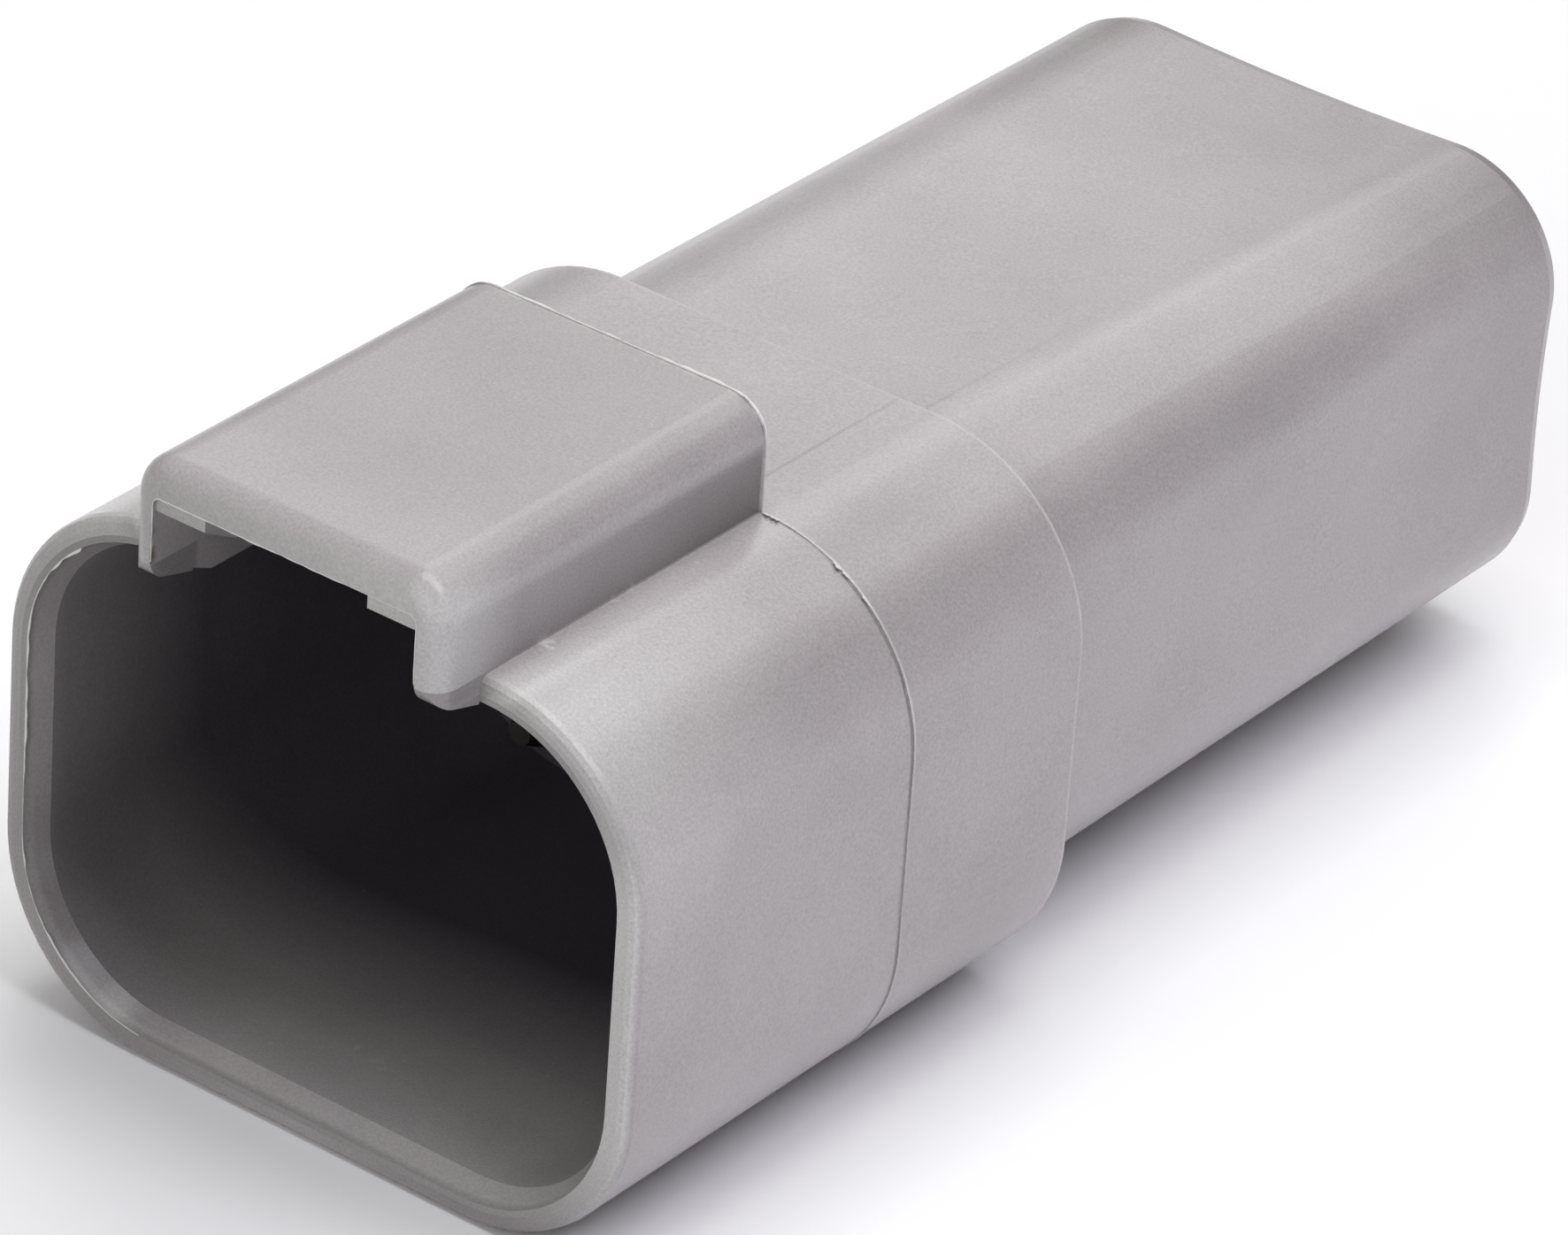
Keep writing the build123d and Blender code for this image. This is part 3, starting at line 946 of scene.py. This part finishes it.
def make_burr(name, start, end, most, seed):
    """A ragged burr on the parting line that leans forward, between two angles on the corner."""
    places = trace_ridge(start, end)
    return make_strip(name, places, (0.45, -1.0), 0.01 * MM, most, seed, fineness=RAGGED)


strips = [
    make_strip("rim_flash", left_rim, (-1.0, -0.25), 0.01 * MM, 0.12 * MM, 3.0, right_share=0.2),
    make_strip("opening_flash", opening, (-1.0, -0.15), 0.015 * MM, 0.06 * MM, 5.0),
    make_strip("hood_back_flash", hood_back, (0.45, 1.0), 0.03 * MM, 0.11 * MM, 8.0),
    make_burr("first_burr", 65, 58, 0.42 * MM, 11.0),
    make_burr("second_burr", 52.5, 48, 0.30 * MM, 13.0),
    make_burr("foot_burr", 91, 85, 0.20 * MM, 17.0),
]
print("flash:", {strip.name: len(strip.data.polygons) for strip in strips})

# %% [markdown]
# ## Floor
# The floor is plain white paper. To the camera and in reflections it is white all over. What it
# throws back as soft light is less in front of the mouth, as if a dark card stood there: a
# photographer does this so that a deep cavity stays dark while the outside is lit from below.

# %% Lay the floor
FLOOR_SIZE = 3.0
BRIGHT_SIDE = (0.97, 0.95, 1.0, 1.0)
DIM_FRONT = (0.30, 0.30, 0.30, 1.0)


def make_paper():
    """White paper that throws back less soft light in front of the mouth."""
    material, tree = new_material("white_paper")
    output = add_node(tree, "ShaderNodeOutputMaterial")
    shader = set_inputs(add_node(tree, "ShaderNodeBsdfPrincipled"), Roughness=0.9)
    set_inputs(shader, Specular_IOR_Level=0.0)
    path = add_node(tree, "ShaderNodeLightPath").outputs
    seen = calculate(tree, "ADD", path["Is Camera Ray"], path["Is Glossy Ray"], clamp=True)
    seen = calculate(tree, "ADD", seen, path["Is Transmission Ray"], clamp=True)
    place = object_place(tree)
    x, y, _ = split(tree, place)
    fibre = noise_at(tree, place, Scale=900.0, Detail=3.0)
    bright = mix_colours(tree, fibre.outputs["Fac"], grey(0.985), grey(1.0))
    behind = ramp(tree, y, -6.0 * MM, 0.667 * MM)
    beside = ramp(tree, calculate(tree, "ADD", x, y), 7.5 * MM, 15.833 * MM)
    soft = mix_colours(tree, largest(tree, behind, beside), DIM_FRONT, BRIGHT_SIDE)
    tree.links.new(mix_colours(tree, seen, soft, bright), shader.inputs["Base Color"])
    tree.links.new(shader.outputs["BSDF"], output.inputs["Surface"])
    return material


def lay_floor():
    """One flat sheet under the part, wide enough to fill every view."""
    mesh = bpy.data.meshes.new("floor")
    bm = bmesh.new()
    bmesh.ops.create_grid(bm, x_segments=1, y_segments=1, size=FLOOR_SIZE)
    bmesh.ops.translate(bm, vec=(0, 0, housing_low.z), verts=bm.verts)
    bm.to_mesh(mesh)
    bm.free()
    mesh.materials.append(make_paper())
    floor = bpy.data.objects.new("floor", mesh)
    bpy.context.scene.collection.objects.link(floor)
    return floor


floor = lay_floor()
print("floor at z", round(housing_low.z / MM, 2), "mm")

# %% [markdown]
# ## Lamps
# Seven large soft boxes stand round the part, so no hard highlight shows. The strongest come from
# right above and from low in front, which lights the side and the front that the camera sees. The
# one on the right is a little bluer, as the side is in the photograph. The sky behind the floor is
# white only to the camera: the lamps alone make the plastic's sheen.

# %% Hang the lamps
LAMP_AIM = Vector((4, 15, 0)) * MM
LAMP_DISTANCE = 0.85
WHITE_LIGHT = (1.0, 1.0, 1.0)
COOL_LIGHT = (0.955, 0.95, 1.05)


def hang_lamp(name, azimuth, elevation, size, power, colour=WHITE_LIGHT):
    """A square soft box that faces the part; its azimuth turns from +Y to +X."""
    data = bpy.data.lights.new(name, "AREA")
    data.shape = "SQUARE"
    data.size = size
    data.energy = power
    data.color = colour
    lamp = bpy.data.objects.new(name, data)
    bpy.context.scene.collection.objects.link(lamp)
    turn, rise = math.radians(azimuth), math.radians(elevation)
    flat = math.cos(rise)
    away = Vector((math.sin(turn) * flat, math.cos(turn) * flat, math.sin(rise)))
    lamp.location = LAMP_AIM + away * LAMP_DISTANCE
    lamp.rotation_euler = away.to_track_quat("Z", "Y").to_euler()
    return lamp


lamps = [
    hang_lamp("top_box", 0, 88, 0.45, 2.75),
    hang_lamp("back_box", -5, 50, 0.70, 2.12),
    hang_lamp("back_left_box", -40, 38, 0.40, 0.60),
    hang_lamp("back_left_low_box", -45, 12, 0.45, 0.20),
    hang_lamp("right_box", 90, 60, 0.40, 2.45, COOL_LIGHT),
    hang_lamp("front_high_box", 180, 60, 0.80, 0.95),
    hang_lamp("front_low_box", 180, 14, 0.80, 3.10),
]
print("lamps:", [lamp.name for lamp in lamps])

# %% Paint the sky


def paint_sky():
    """Plain white behind the floor, to the camera and through glass; it lights nothing."""
    world = bpy.data.worlds.new("studio")
    bpy.context.scene.world = world
    world.use_nodes = True
    tree = world.node_tree
    tree.nodes.clear()
    output = add_node(tree, "ShaderNodeOutputWorld")
    background = add_node(tree, "ShaderNodeBackground")
    path = add_node(tree, "ShaderNodeLightPath").outputs
    seen = calculate(tree, "ADD", path["Is Camera Ray"], path["Is Transmission Ray"], clamp=True)
    tree.links.new(mix_colours(tree, seen, grey(0.0), grey(1.0)), background.inputs["Color"])
    tree.links.new(background.outputs["Background"], output.inputs["Surface"])
    return world


print("sky:", paint_sky().name)
